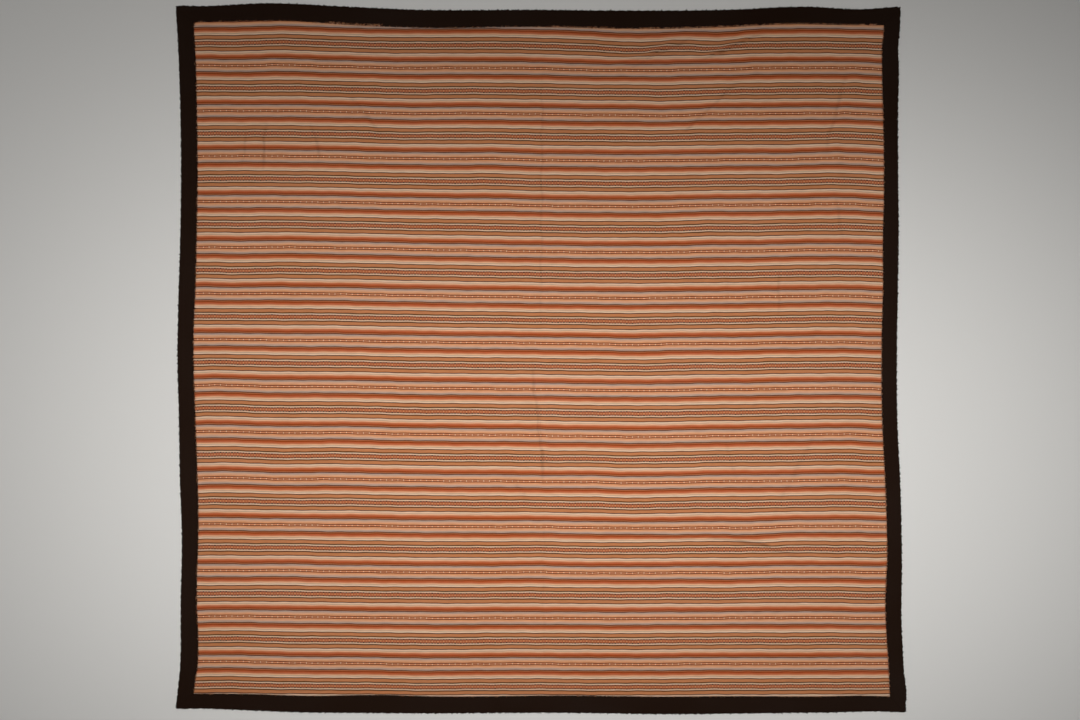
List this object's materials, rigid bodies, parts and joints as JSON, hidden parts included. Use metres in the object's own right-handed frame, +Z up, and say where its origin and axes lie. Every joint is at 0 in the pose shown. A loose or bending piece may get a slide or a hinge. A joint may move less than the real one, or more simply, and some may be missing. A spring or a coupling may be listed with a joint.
{
  "type": "striped bedspread",
  "caption": "Flat-laid woven bedspread with a cross-striped field and a mitred plush border, lying in a few low folds.",
  "frame": {"origin": "centre of the bounding box, on the surface the spread lies on", "axes": "+X along the stripes, +Y from the foot side to the head side, +Z up through the cloth"},
  "size_m": [2.268, 2.2058, 0.008],
  "materials": {
    "striped_cloth": "matt woven stripes in rust, camel, cream and grey-lilac",
    "plush": "short dark brown pile"
  },
  "bodies": {
    "root": {"field": "striped_cloth", "border_head": "plush", "border_foot": "plush", "border_left": "plush", "border_right": "plush"}
  },
  "joints": []
}
